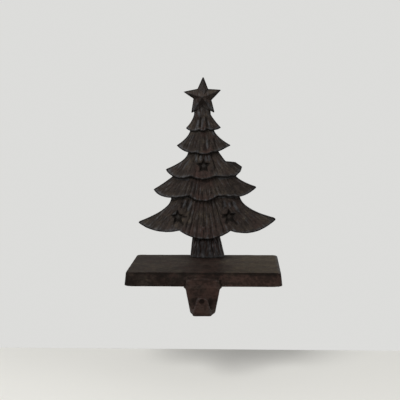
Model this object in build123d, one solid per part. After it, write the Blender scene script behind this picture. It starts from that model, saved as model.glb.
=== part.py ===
from build123d import *
import os
from dataclasses import dataclass
from math import cos, pi, radians, sin, tan

# Mantel stocking holder in cast iron: a drafted base that rests on the shelf, with a
# flat J hook cast onto its front edge, and a five-tier fir tree casting that stands at
# the back of the base and is held by one screw from below.
# Millimetres. Z is up, the front faces -Y, and the origin is the centre of the underside,
# in the plane that rests on the shelf. Heights in the tree are above the base's deck.

# Base
base_width = 121.5
base_depth = 84.0
base_height = 10.6
base_draft = 6.8  # degrees, all four sides
base_corner_radius = 4.2  # plan corners, at the deck
base_edge_radius = 1.4  # round along the deck's edge
base_wall = 4.5
base_deck = 4.5  # iron above the hollow
hollow_corner_radius = 3.0

# Hook
hook_drop = 19.8  # underside of the base to the bottom of the hook
hook_thickness = 4.8
hook_throat = 8.0  # clear gap between the tab and the tongue
hook_tab_width = 25.4
hook_heel_width = 18.8  # tab, at the bottom of the hook
hook_toe_width = 15.4  # tongue, at the bottom of the hook
hook_inner_radius = 2.6
hook_outer_radius = 4.2
hook_corner_radius = 1.4  # front view, at the bottom
tongue_tip_width = 7.2
tongue_tip_drop = 5.0  # underside of the base to the tongue's tip
tongue_tip_thickness = 3.6
tongue_tip_radius = 3.2
tongue_hole_diameter = 3.8
tongue_hole_below_tip = 3.0
pad_width = 25.6
pad_height = 7.2  # top of the arched pad above the underside
pad_arch_rise = 1.7
pad_projection = 3.2
pad_edge_radius = 1.4
pad_wing = 2.3  # how far the pad's foot spreads past its sides
kick_top = 2.0  # the front steps out from the pad to the tab between these heights
kick_bottom = 0.4
wing_drop = 3.2  # the foot's fillet runs out this far below the underside

# Tree
tree_setback = 5.5  # back of the tree in front of the base's rear edge
bough_edge = 4.0  # thickness of a bough at its outline
bough_crown_power = 2.2
bough_tuck = 2.2  # how far a tier reaches up behind the hem above it
bough_waist = 0.5  # stations down a bough, as shares of the way from its shoulder to its hem
bough_flare = 0.78
hem_rounds = 12  # halvings that find where a flute line meets the hem
flute_stray = 0.3  # how far a hand-cut ridge strays, as a share of its half width
trunk_depth = 13.0
trunk_side_depth = 7.2  # depth of the trunk's flat sides
trunk_foot_width = 28.2
trunk_foot_offset = 0.8
trunk_neck_width = 21.4
trunk_neck_offset = -0.4
trunk_neck_height = 20.0
trunk_rise = 26.0  # top of the trunk, inside the lowest tier
trunk_ridges = 8
trunk_round_power = 4
bark_depth = 1.1

# Crown tier and top star
crown_shoulder_height = 118.5
star_radius = 16.0
star_inner_radius = 7.5
star_centre_x = -2.8
star_rise = 14.8  # the star's centre above the crown's shoulders
star_seat = 3.8  # the crown's neck ends this far below the star's centre
star_turn = 1.6  # degrees, anticlockwise
star_lean = (-3.4, -5.7, 1.6, -9.0, -0.6, -4.0, -1.0, -4.1, 0.6, -0.5)  # its hand-cut corners, in degrees
star_edge = 6.0  # thickness at its outline
star_peak = 5.2  # height of the facets above the outline

# Small stars sunk into the boughs
small_star_radius = 6.4
small_star_inner_radius = 3.0
small_star_depth = 2.2
small_star_draft = 0.2  # each radius shrinks by this share of itself for each millimetre down

# Screw
screw_diameter = 6.0
screw_engagement = 10.0
screw_head_diameter = 11.0
screw_head_height = 3.2
screw_head_chamfer = 0.8
screw_slot_length = 6.0
screw_slot_width = 1.3
screw_slot_depth = 1.6
screw_hole_clearance = 0.4  # on the diameter, through the base
thread_clearance = 0.1  # on the diameter, in the trunk
thread_run_out = 2.0

# How far a cutting form runs past what it cuts
cut_margin = 1.0

# Places worked out from the sizes above
front_y = -base_depth / 2
tree_back_y = base_depth / 2 - tree_setback
star_centre_height = crown_shoulder_height + star_rise
screw_x = trunk_foot_offset
screw_y = tree_back_y - trunk_depth / 2
tab_front_y = front_y - hook_thickness
tongue_back_y = tab_front_y - hook_throat
tongue_front_y = tongue_back_y - hook_thickness
throat_floor = hook_thickness - hook_drop
bend_top = throat_floor + hook_inner_radius


@dataclass
class Tier:
    """One tier of boughs: its front outline, its relief and its flutes.

    Points are (x, height). The hem is a curve along each wing and an arc along the middle lobe.
    Depths are in front of the tree's flat back, at the shoulder, the waist, the flare and the hem.
    """

    shoulder_left: tuple
    shoulder_right: tuple
    tip_left: tuple
    tip_right: tuple
    hem_left: tuple  # points between the left tip and the notch
    notch_left: tuple
    lobe: tuple
    notch_right: tuple
    hem_right: tuple  # points between the notch and the right tip
    tuck_inset: float
    flare_left: tuple  # the bend of the upper edge, as shares across and down from shoulder to tip
    flare_right: tuple
    crowns: tuple
    lobe_rises: tuple
    hem_lift: float  # how far the hem curls forward along its whole length
    lobe_flutes: int
    wing_flutes: int
    flute_depth: float
    wing_flute_depth: float
    flute_strength: tuple = (0.3, 0.7, 0.9, 1.0)  # share of the flutes' depth at the stations
    blunt_right: tuple = ()  # corners of a bough end that is cut off blunt
    top: float = 0.0  # where it ends behind what lies above it, set after the list of tiers

    @property
    def bottom(self):
        return min(z for _, z in (*self.hem_left, self.lobe, *self.hem_right)) - cut_margin

    @property
    def shoulder(self):
        return (self.shoulder_left[1] + self.shoulder_right[1]) / 2

    @property
    def hem_end(self):
        """The right end of the hem: the tip, or the lower corners of a blunt bough end."""
        corners = [p for p in reversed(self.blunt_right) if p[1] <= self.tip_right[1]]
        return corners or [self.tip_right]

    def hem_height(self, x):
        """Height of the hem at x, on straight lines between its points."""
        middle = (self.notch_left, self.lobe, self.notch_right)
        line = [self.tip_left, *self.hem_left, *middle, *self.hem_right, *self.hem_end]
        for (x0, z0), (x1, z1) in zip(line, line[1:]):
            if x <= x1:
                return z0 + (z1 - z0) * max(0, (x - x0) / (x1 - x0))
        return line[-1][1]

    def span(self, z):
        """Centre and half width of the relief at a height, spread evenly from shoulder to tip."""
        lower = (self.tip_left[1] + self.tip_right[1]) / 2
        share = max(0, (self.shoulder - z) / (self.shoulder - lower))
        left = self.shoulder_left[0] + (self.tip_left[0] - self.shoulder_left[0]) * share
        right = self.shoulder_right[0] + (self.tip_right[0] - self.shoulder_right[0]) * share
        return (left + right) / 2, (right - left) / 2 + cut_margin

    def across(self, u, z):
        """x of a flute line at a height, for its position u across the tier, from -1 to 1."""
        centre, half = self.span(z)
        return centre + half * u

    def flute_end(self, u):
        """Height at which a flute line meets the hem, closed in on by halves."""
        z = self.shoulder
        for _ in range(hem_rounds):
            z = (z + self.hem_height(self.across(u, z))) / 2
        return z

    @property
    def lobe_share(self):
        """Half width of the middle lobe as a share of the tier's half width at the tips."""
        spread = self.span((self.tip_left[1] + self.tip_right[1]) / 2)[1]
        return (self.notch_right[0] - self.notch_left[0]) / 2 / spread

    def flutes(self):
        """Positions across the tier, each with the depth of its ridge or valley."""
        inner = self.lobe_share
        wings = []
        for i in range(2 * self.wing_flutes):
            share = inner + (1 - inner) * (1 - i / (2 * self.wing_flutes))
            wings.append((share, self.wing_flute_depth * (i % 2 - 0.5)))
        middle = []
        for i in range(2 * self.lobe_flutes + 1):
            stray = flute_stray * sin(pi * i * i / self.lobe_flutes)
            share = inner * ((i + stray) / self.lobe_flutes - 1)
            middle.append((share, self.flute_depth * (i % 2 - 0.5)))
        return [(-u, d) for u, d in wings] + middle + [(u, d) for u, d in reversed(wings)]

    def smooth_depth(self, u, share):
        """Depth of the unfluted relief on a flute line, at a share of the way to the hem."""
        crown = 1 - min(abs(u), 1) ** bough_crown_power
        lobe = max(0, 1 - (u / self.lobe_share) ** 2)
        depths = []
        for crown_depth, lobe_rise in zip(self.crowns, self.lobe_rises):
            depths.append(bough_edge + (crown_depth - bough_edge) * crown + lobe_rise * lobe)
        depths[-1] += self.hem_lift
        return down_bough(depths, share)

    def depth_at(self, x, z):
        """Depth of the unfluted relief at a point of the front view."""
        centre, half = self.span(z)
        share = (self.shoulder - z) / (self.shoulder - self.hem_height(x))
        return self.smooth_depth((x - centre) / half, share)


def down_bough(values, share):
    """Value at a share of the way down a bough, on straight lines from station to station."""
    stations = (0, bough_waist, bough_flare, 1)
    first = sum(share > station for station in stations[1:-1])
    part = (share - stations[first]) / (stations[first + 1] - stations[first])
    return values[first] + (values[first + 1] - values[first]) * max(0, part)


tiers = [
    Tier(  # crown tier, whose neck carries the star
        shoulder_left=(-9.8, crown_shoulder_height),
        shoulder_right=(3.6, crown_shoulder_height),
        tip_left=(-16.7, crown_shoulder_height - 10.9),
        tip_right=(12.0, crown_shoulder_height - 10.6),
        hem_left=((-12.8, crown_shoulder_height - 12.9),),
        notch_left=(-5.2, crown_shoulder_height - 12.1),
        lobe=(-2.2, crown_shoulder_height - 13.3),
        notch_right=(0.6, crown_shoulder_height - 11.2),
        hem_right=((6.8, crown_shoulder_height - 12.3),),
        tuck_inset=0.8,
        flare_left=(0.2, 0.5),
        flare_right=(0.38, 0.5),
        crowns=(5.4, 6.4, 7.4, 8.6),
        lobe_rises=(0.2, 0.4, 0.5, 0.7),
        hem_lift=1.0,
        lobe_flutes=2,
        wing_flutes=2,
        flute_depth=0.9,
        wing_flute_depth=0.8,
    ),
    Tier(
        shoulder_left=(-13.2, 104.9),
        shoulder_right=(6.6, 104.9),
        tip_left=(-24.2, 93.3),
        tip_right=(20.0, 93.2),
        hem_left=((-20.0, 90.1), (-15.7, 88.2)),
        notch_left=(-8.6, 87.9),
        lobe=(-0.5, 86.5),
        notch_right=(5.4, 88.3),
        hem_right=((11.3, 89.0), (15.8, 91.2)),
        tuck_inset=1.5,
        flare_left=(0.17, 0.5),
        flare_right=(0.2, 0.5),
        crowns=(6.8, 7.6, 8.4, 9.6),
        lobe_rises=(0.2, 0.4, 0.6, 0.8),
        hem_lift=1.2,
        lobe_flutes=3,
        wing_flutes=2,
        flute_depth=0.7,
        wing_flute_depth=0.2,
    ),
    Tier(
        shoulder_left=(-14.8, 87.6),
        shoulder_right=(10.3, 87.6),
        tip_left=(-33.4, 73.2),
        tip_right=(29.8, 75.6),
        hem_left=((-28.4, 68.5), (-24.0, 66.9)),
        notch_left=(-12.5, 68.3),
        lobe=(-1.6, 65.8),
        notch_right=(7.5, 68.3),
        hem_right=((16.5, 67.7),),
        tuck_inset=1.5,
        flare_left=(0.06, 0.5),
        flare_right=(0.42, 0.5),
        crowns=(7.4, 8.4, 9.2, 10.4),
        lobe_rises=(0.2, 0.8, 1.0, 1.2),
        hem_lift=1.3,
        lobe_flutes=5,
        wing_flutes=2,
        flute_depth=1.0,
        wing_flute_depth=0.2,
        flute_strength=(1.0, 0.8, 0.5, 0.3),
        blunt_right=((16.1, 79.7), (29.2, 78.5), (29.8, 75.6), (28.4, 71.8), (24.8, 68.4)),
    ),
    Tier(
        shoulder_left=(-28.5, 66.9),
        shoulder_right=(25.0, 66.9),
        tip_left=(-43.8, 56.6),
        tip_right=(41.8, 58.4),
        hem_left=((-39.6, 52.8), (-31.8, 50.5)),
        notch_left=(-14.0, 51.9),
        lobe=(-2.0, 47.8),
        notch_right=(9.3, 51.7),
        hem_right=((20.0, 51.4), (29.0, 51.5), (36.4, 54.6)),
        tuck_inset=1.5,
        flare_left=(0.4, 0.5),
        flare_right=(0.22, 0.5),
        crowns=(8.2, 9.0, 10.0, 11.4),
        lobe_rises=(0.2, 0.9, 1.2, 1.5),
        hem_lift=1.3,
        lobe_flutes=7,
        wing_flutes=2,
        flute_depth=1.0,
        wing_flute_depth=0.2,
    ),
    Tier(  # widest tier, over the trunk
        shoulder_left=(-29.2, 49.8),
        shoulder_right=(27.9, 49.8),
        tip_left=(-57.0, 29.0),
        tip_right=(58.4, 31.9),
        hem_left=((-49.5, 24.9), (-40.7, 22.4), (-29.1, 21.9)),
        notch_left=(-21.9, 23.2),
        lobe=(-0.6, 16.5),
        notch_right=(20.2, 23.1),
        hem_right=((31.2, 21.1), (42.7, 22.7), (52.1, 27.3)),
        tuck_inset=2.0,
        flare_left=(0.0, 0.5),
        flare_right=(0.1, 0.62),
        crowns=(9.0, 10.0, 11.2, 12.8),
        lobe_rises=(0.2, 1.0, 1.3, 1.6),
        hem_lift=1.6,
        lobe_flutes=9,
        wing_flutes=4,
        flute_depth=1.1,
        wing_flute_depth=0.6,
        flute_strength=(0.7, 0.8, 0.8, 0.9),
    ),
]

tiers[0].top = star_centre_height - star_seat
for upper, lower in zip(tiers, tiers[1:]):
    lower.top = max(lower.shoulder, upper.notch_left[1], upper.notch_right[1]) + bough_tuck

# Small stars: the tier that each lies on, its place and its turn in degrees
small_stars = [
    (tiers[2], -2.1, 76.7, 2.0),
    (tiers[4], -23.7, 33.9, 3.0),
    (tiers[4], 19.2, 34.5, 5.0),
]


def front_point(x, height):
    """A point of the tree's front view, on the plane of its flat back."""
    return Vector(x, tree_back_y, base_height + height)


def relief_loft(sections):
    """Solid between the tree's back plane and front lines of (x, depth, height), from top to bottom."""
    wires = []
    for line in sections:
        front = [front_point(x, height) - Vector(0, depth, 0) for x, depth, height in line]
        ends = [front_point(x, height) for x, _, height in (line[-1], line[0])]
        wires.append(Wire.make_polygon(front + ends, close=True))
    return Solid.make_loft(wires, ruled=True)


def outline_prism(edges, depth):
    """Extrudes a closed front outline forwards from the tree's back plane."""
    face = Face(Wire(edges))
    if face.normal_at().Y > 0:
        face = -face
    return extrude(face, amount=depth, dir=(0, -1, 0))


def flare_edge(shoulder, tip, flare):
    """The hollow upper edge of a bough, from its shoulder down to its tip."""
    bend = [a + share * (b - a) for a, b, share in zip(shoulder, tip, flare)]
    return Bezier(front_point(*shoulder), front_point(*bend), front_point(*tip))


def tier_outline(tier):
    left_top = front_point(tier.shoulder_left[0] + tier.tuck_inset, tier.top)
    right_top = front_point(tier.shoulder_right[0] - tier.tuck_inset, tier.top)
    left = front_point(*tier.shoulder_left)
    right = front_point(*tier.shoulder_right)
    edges = [Line(right_top, left_top), Line(left_top, left)]
    edges.append(flare_edge(tier.shoulder_left, tier.tip_left, tier.flare_left))
    left_wing = (tier.tip_left, *tier.hem_left, tier.notch_left)
    middle = (tier.notch_left, tier.lobe, tier.notch_right)
    right_wing = (tier.notch_right, *tier.hem_right, tier.hem_end[0])
    edges.append(Spline(*(front_point(*p) for p in left_wing)))
    edges.append(ThreePointArc(*(front_point(*p) for p in middle)))
    edges.append(Spline(*(front_point(*p) for p in right_wing)))
    if tier.blunt_right:
        corners = [front_point(*p) for p in reversed(tier.blunt_right)]
        edges += [Line(a, b) for a, b in zip(corners, corners[1:])]
        edges.append(flare_edge(tier.shoulder_right, tier.blunt_right[0], tier.flare_right))
    else:
        edges.append(flare_edge(tier.shoulder_right, tier.tip_right, tier.flare_right))
    edges.append(Line(right, right_top))
    return edges


def tier_relief(tier):
    """Fluted relief from the tuck down past the hem: flat end sections, and two that follow the hem."""
    sections = [[], [], [], []]
    for u, flute in tier.flutes():
        drop = tier.shoulder - tier.flute_end(u)
        waist = tier.shoulder - bough_waist * drop
        flare = tier.shoulder - bough_flare * drop
        heights = (tier.top, waist, flare, tier.bottom)
        for section, height, strength in zip(sections, heights, tier.flute_strength):
            depth = tier.smooth_depth(u, (tier.shoulder - height) / drop) + flute * strength
            section.append((tier.across(u, height), depth, height))
    return relief_loft(sections)


def make_tier(tier):
    deepest = max(tier.crowns) + max(tier.lobe_rises) + tier.hem_lift + tier.flute_depth
    return tier_relief(tier) & outline_prism(tier_outline(tier), deepest + cut_margin)


def make_trunk():
    """Half-round trunk with bark ridges, spreading a little towards its foot."""
    stations = [
        (0, trunk_foot_width, trunk_foot_offset),
        (trunk_neck_height, trunk_neck_width, trunk_neck_offset),
        (trunk_rise, trunk_neck_width, trunk_neck_offset),
    ]
    steps = 2 * trunk_ridges
    sections = []
    for height, width, offset in stations:
        line = []
        for i in range(steps + 1):
            angle = pi * i / steps
            bark = bark_depth if i % 2 == 0 and 0 < i < steps else 0
            swell = 1 - abs(cos(angle)) ** trunk_round_power
            depth = trunk_side_depth + (trunk_depth - trunk_side_depth) * swell - bark
            line.append((offset - width / 2 * cos(angle), depth, height))
        sections.append(line)
    return relief_loft(sections)


def star_wire(radius, inner_radius, turn, lean=(0,) * 10):
    """Five-pointed star, anticlockwise from its top corner, with each corner's lean off a regular star."""
    points = []
    for i, off in enumerate(lean):
        reach = inner_radius if i % 2 else radius
        angle = radians(90 + 36 * i + turn + off)
        points.append(Vector(reach * cos(angle), reach * sin(angle), 0))
    return Wire.make_polygon(points, close=True)


def make_star():
    """Top star with straight sides and ten facets that rise to a point."""
    outline = star_wire(star_radius, star_inner_radius, star_turn, star_lean)
    sides = extrude(Face(outline), amount=star_edge, dir=(0, 0, 1))
    rim = outline.moved(Location((0, 0, star_edge)))
    facets = Solid.make_loft([rim, Vertex(0, 0, star_edge + star_peak)], ruled=True)
    back = Plane(origin=front_point(star_centre_x, star_centre_height), x_dir=(1, 0, 0), z_dir=(0, -1, 0))
    return back.location * (Part() + sides + facets)


def star_pocket(plane, turn):
    """Cutting form of a sunk star, with drafted walls and a flat floor."""
    rims = []
    for rise in (cut_margin, -small_star_depth):
        share = 1 + small_star_draft * rise
        rim = star_wire(small_star_radius * share, small_star_inner_radius * share, turn)
        rims.append(rim.moved(Location((0, 0, rise))))
    return plane.location * Solid.make_loft(rims, ruled=True)


def surface_plane(tier, x, height):
    """Plane that lies on a tier's relief, facing out of it."""
    step = 1.0  # each way, for the slope
    depth = tier.depth_at(x, height)
    along_x = Vector(2 * step, tier.depth_at(x - step, height) - tier.depth_at(x + step, height), 0)
    along_z = Vector(0, tier.depth_at(x, height - step) - tier.depth_at(x, height + step), 2 * step)
    normal = along_x.cross(along_z)
    origin = Vector(x, tree_back_y - depth, base_height + height)
    return Plane(origin=origin, x_dir=along_x, z_dir=normal)


def make_tree():
    tree = make_trunk()
    for tier in reversed(tiers):
        tree = tree + make_tier(tier)
    tree = tree + make_star()
    for tier, x, height, turn in small_stars:
        tree = tree - star_pocket(surface_plane(tier, x, height), turn)
    bore = Cylinder(
        (screw_diameter + thread_clearance) / 2,
        screw_engagement + thread_run_out,
        align=(Align.CENTER, Align.CENTER, Align.MIN),
    )
    return tree - Pos(screw_x, screw_y, base_height) * bore


def round_bottom(outline):
    """Rounds the two lowest corners of a front outline of the hook."""
    return fillet(outline.vertices().sort_by(Axis.Y)[:2], hook_corner_radius)


def make_hook():
    """Flat J hook: an arched pad on the base's front, a tab, a bend and an upturned tongue."""
    inside_y = front_y + base_wall / 2
    lip_y = tongue_back_y - tongue_tip_thickness
    profile = Plane.YZ * make_face(
        Polyline(
            (inside_y, pad_height),
            (front_y - pad_projection, pad_height),
            (front_y - pad_projection, kick_top),
            (tab_front_y, kick_bottom),
            (tab_front_y, throat_floor),
            (tongue_back_y, throat_floor),
            (tongue_back_y, -tongue_tip_drop),
            (lip_y, -tongue_tip_drop),
            (tongue_front_y, bend_top),
            (tongue_front_y, -hook_drop),
            (front_y, -hook_drop),
            (front_y, 0),
            (inside_y, 0),
            close=True,
        )
    )
    profile = fillet(profile.vertices().group_by(Axis.Z)[1], hook_inner_radius)
    profile = fillet(profile.vertices().group_by(Axis.Z)[0], hook_outer_radius)
    strip = extrude(profile, amount=hook_tab_width, both=True)

    pad_side = pad_width / 2
    shoulder = pad_height - pad_arch_rise
    tab_side = hook_tab_width / 2
    heel_side = hook_heel_width / 2
    toe_side = hook_toe_width / 2
    tip_side = tongue_tip_width / 2
    wing = pad_side + pad_wing

    tab_edges = [ThreePointArc((-pad_side, shoulder), (0, pad_height), (pad_side, shoulder))]
    for side in (1, -1):
        tab_edges += [
            Bezier((side * pad_side, shoulder), (side * pad_side, 0), (side * wing, 0)),
            Bezier((side * wing, 0), (side * tab_side, 0), (side * tab_side, -wing_drop)),
            Line((side * tab_side, -wing_drop), (side * heel_side, -hook_drop)),
        ]
    tab_edges.append(Line((-heel_side, -hook_drop), (heel_side, -hook_drop)))
    tab_outline = Plane.XZ * round_bottom(make_face(tab_edges))
    tongue_outline = make_face(
        Polyline(
            (-toe_side, -hook_drop),
            (-tip_side, -tongue_tip_drop),
            (tip_side, -tongue_tip_drop),
            (toe_side, -hook_drop),
            close=True,
        )
    )
    tip = tongue_outline.vertices().sort_by(Axis.Y)[-2:]
    tongue_outline = Plane.XZ * round_bottom(fillet(tip, tongue_tip_radius))

    # Between the tab and the tongue the bend narrows from the heel to the toe.
    bend_rise = bend_top + hook_drop
    heel_top_side = heel_side + (tab_side - heel_side) / (hook_drop - wing_drop) * bend_rise
    toe_top_side = toe_side - (toe_side - tip_side) / (hook_drop - tongue_tip_drop) * bend_rise
    heel = (tab_front_y, heel_side, heel_top_side)
    toe = (tongue_back_y, toe_side, toe_top_side)
    ends = []
    for y, low, high in (heel, toe):
        corners = [(-low, -hook_drop), (-high, bend_top), (high, bend_top), (low, -hook_drop)]
        section = Plane.XZ * round_bottom(make_face(Polyline(*corners, close=True)))
        ends.append(section.face().outer_wire().moved(Location((0, y, 0))))
    bend_form = Solid.make_loft(ends, ruled=True)

    tab_reach = hook_thickness + base_wall
    tab = strip & Pos(0, tab_front_y, 0) * extrude(tab_outline, amount=-tab_reach)
    bend = strip & bend_form
    tongue = strip & Pos(0, tongue_back_y, 0) * extrude(tongue_outline, amount=hook_thickness)
    hook = tab + bend + tongue
    arches = hook.edges().filter_by(GeomType.CIRCLE).sort_by(Axis.Z)[-2:]
    hook = fillet(arches.sort_by(Axis.Y)[0], pad_edge_radius)
    hole = Rot(90, 0, 0) * Cylinder(tongue_hole_diameter / 2, 2 * hook_thickness)
    hole_z = -tongue_tip_drop - tongue_hole_below_tip
    return hook - Pos(0, tongue_back_y - hook_thickness / 2, hole_z) * hole


def make_base():
    """Drafted tray, open below, with the hook on its front edge and a hole for the screw."""
    spread = base_height * tan(radians(base_draft))
    foot = RectangleRounded(base_width, base_depth, base_corner_radius + spread)
    block = extrude(foot, amount=base_height, taper=base_draft)
    deck_edges = block.faces().sort_by(Axis.Z)[-1].edges()
    block = fillet(deck_edges, base_edge_radius)
    hollow_plan = RectangleRounded(
        base_width - 2 * base_wall, base_depth - 2 * base_wall, hollow_corner_radius
    )
    block -= extrude(hollow_plan, amount=base_height - base_deck, taper=base_draft)
    screw_hole = Cylinder((screw_diameter + screw_hole_clearance) / 2, 2 * base_height + cut_margin)
    return block - Pos(screw_x, screw_y, 0) * screw_hole + make_hook()


def make_screw():
    """Pan-head screw from below, its head seated on the ceiling of the hollow."""
    seat = base_height - base_deck
    head = Cylinder(
        screw_head_diameter / 2, screw_head_height, align=(Align.CENTER, Align.CENTER, Align.MAX)
    )
    rim = head.faces().sort_by(Axis.Z)[0].edges()
    head = chamfer(rim, screw_head_chamfer)
    for turn in (0, 90):
        slot = Box(screw_slot_length, screw_slot_width, screw_slot_depth)
        head -= Pos(0, 0, screw_slot_depth / 2 - screw_head_height) * Rot(0, 0, turn) * slot
    shank = Cylinder(
        screw_diameter / 2,
        base_deck + screw_engagement,
        align=(Align.CENTER, Align.CENTER, Align.MIN),
    )
    return Pos(screw_x, screw_y, seat) * (head + shank)


nodes = {
    "base_with_hook": make_base(),
    "tree_casting": make_tree(),
    "fixing_screw": make_screw(),
}

os.makedirs("parts", exist_ok=True)
for name, solid in nodes.items():
    export_step(solid, f"parts/{name}.step")
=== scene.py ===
from dataclasses import dataclass
from math import radians, sin
from types import SimpleNamespace

import bpy
import numpy as np
from bpy.props import FloatProperty, FloatVectorProperty, IntProperty, PointerProperty
from mathutils import Matrix, Vector


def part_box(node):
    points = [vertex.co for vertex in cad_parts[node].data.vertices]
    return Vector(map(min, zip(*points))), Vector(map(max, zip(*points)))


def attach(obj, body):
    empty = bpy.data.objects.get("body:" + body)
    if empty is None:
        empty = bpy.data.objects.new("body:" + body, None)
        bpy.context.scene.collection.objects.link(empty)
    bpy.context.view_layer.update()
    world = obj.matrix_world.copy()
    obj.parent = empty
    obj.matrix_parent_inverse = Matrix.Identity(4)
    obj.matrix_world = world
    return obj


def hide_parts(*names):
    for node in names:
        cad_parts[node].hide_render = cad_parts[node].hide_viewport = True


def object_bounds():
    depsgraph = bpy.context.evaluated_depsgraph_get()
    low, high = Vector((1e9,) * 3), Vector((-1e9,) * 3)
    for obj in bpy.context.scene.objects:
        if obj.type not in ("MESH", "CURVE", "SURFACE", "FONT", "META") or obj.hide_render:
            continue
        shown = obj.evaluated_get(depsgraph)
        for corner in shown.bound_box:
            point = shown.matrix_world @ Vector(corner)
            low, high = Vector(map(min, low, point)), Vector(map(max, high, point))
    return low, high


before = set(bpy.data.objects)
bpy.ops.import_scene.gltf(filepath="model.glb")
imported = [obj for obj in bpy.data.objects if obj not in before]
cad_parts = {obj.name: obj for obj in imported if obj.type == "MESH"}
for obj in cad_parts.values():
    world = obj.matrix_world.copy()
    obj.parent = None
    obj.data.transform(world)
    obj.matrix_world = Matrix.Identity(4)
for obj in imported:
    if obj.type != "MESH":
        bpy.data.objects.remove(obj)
CAD_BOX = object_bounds()

bl_info = {
    "name": "Mantel stocking holder",
    "version": (1, 0, 0),
    "blender": (4, 5, 0),
    "location": "3D View > Sidebar > Holder",
    "description": "Dresses the cast iron stocking holder: base with hook, fir tree and screw",
    "category": "Object",
}

MM = 0.001
BODY = "root"
MERGE_DISTANCE = 0.001 * MM  # corners of the construction mesh closer than this are one
SAND_LEVEL = 0.6  # shade of the sand textures that leaves the skin where it is
PHOTO_WIDTH = 400  # pixels, the width that the camera's focal length is given in


class CastingDetail(bpy.types.PropertyGroup):
    """How finely the castings are skinned, and how deep their carving and grain go."""

    tree_skin: FloatProperty(
        name="Tree skin", description="Size of the faces on the tree",
        default=0.49 * MM, unit="LENGTH", precision=5,
    )
    base_skin: FloatProperty(
        name="Base skin", description="Size of the faces on the base and the hook",
        default=0.6 * MM, unit="LENGTH", precision=5,
    )
    tree_swell: FloatProperty(
        name="Tree swell", description="Skin added to the tree, which makes up for the softening",
        default=0.25 * MM, unit="LENGTH", precision=5,
    )
    soft_rounds: IntProperty(
        name="Softening", description="Rounds of smoothing that melt all edges a little",
        default=1, min=0,
    )
    melt_rounds: IntProperty(
        name="Melting", description="Rounds of smoothing that melt the relief in depth alone",
        default=4, min=0,
    )
    wing_rounds: IntProperty(
        name="Wing melting", description="Further rounds in depth on the smooth wings of the boughs",
        default=40, min=0,
    )
    hook_rounds: IntProperty(
        name="Hook softening", description="Rounds of smoothing that round the hook's edges",
        default=4, min=0,
    )
    hook_wing_rounds: IntProperty(
        name="Hook wing softening",
        description="Further rounds on the thin wings at the foot of the hook's pad",
        default=16, min=0,
    )
    needle_depth: FloatProperty(
        name="Needle depth", description="Depth of the carved needle grooves",
        default=0.42 * MM, unit="LENGTH", precision=5,
    )
    needle_width: FloatProperty(
        name="Needle width", description="Half width of a needle groove",
        default=0.5 * MM, unit="LENGTH", precision=5,
    )
    bark_depth: FloatProperty(
        name="Bark depth", description="Depth of the grooves in the trunk",
        default=1.1 * MM, unit="LENGTH", precision=5,
    )
    grain_depth: FloatProperty(
        name="Grain depth", description="Height of the sand grain on the castings",
        default=0.1 * MM, unit="LENGTH", precision=5,
    )
    grain_size: FloatProperty(
        name="Grain size", description="Size of the sand grain",
        default=0.9 * MM, unit="LENGTH", precision=5,
    )
    ripple_depth: FloatProperty(
        name="Ripple depth", description="Height of the slow unevenness of a sand casting",
        default=0.22 * MM, unit="LENGTH", precision=5,
    )
    ripple_size: FloatProperty(
        name="Ripple size", description="Size of the slow unevenness",
        default=9 * MM, unit="LENGTH", precision=5,
    )


class IronColours(bpy.types.PropertyGroup):
    """Colours of the antique iron and of the screw, in linear light."""

    black: FloatVectorProperty(
        name="Black", description="Black of the iron where the finish lies thick",
        subtype="COLOR", size=3, default=(0.0072, 0.0056, 0.0048),
    )
    brown: FloatVectorProperty(
        name="Brown", description="Brown of the finish on open faces",
        subtype="COLOR", size=3, default=(0.0285, 0.0218, 0.0184),
    )
    rust: FloatVectorProperty(
        name="Rust", description="Red brown of the patches and the sheltered faces",
        subtype="COLOR", size=3, default=(0.0385, 0.0228, 0.0186),
    )
    # Also painted light: lighter olive on the deck and on the top star's upward facets
    olive: FloatVectorProperty(
        name="Olive", description="Olive grey that lies on the open faces and on the deck",
        subtype="COLOR", size=3, default=(0.0760, 0.0585, 0.0400),
    )
    # Cool grey of rubbed ridges, which also serves as a painted highlight on ridges, rims and facets
    worn_and_sheen: FloatVectorProperty(
        name="Worn", description="Cool grey of the ridges where the finish is rubbed",
        subtype="COLOR", size=3, default=(0.066, 0.068, 0.073),
    )
    zinc: FloatVectorProperty(
        name="Zinc", description="Grey of the plated screw",
        subtype="COLOR", size=3, default=(0.42, 0.41, 0.39),
    )
    dull_zinc: FloatVectorProperty(
        name="Dull zinc", description="Darker grey in the spangle of the plated screw",
        subtype="COLOR", size=3, default=(0.3, 0.3, 0.29),
    )


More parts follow.
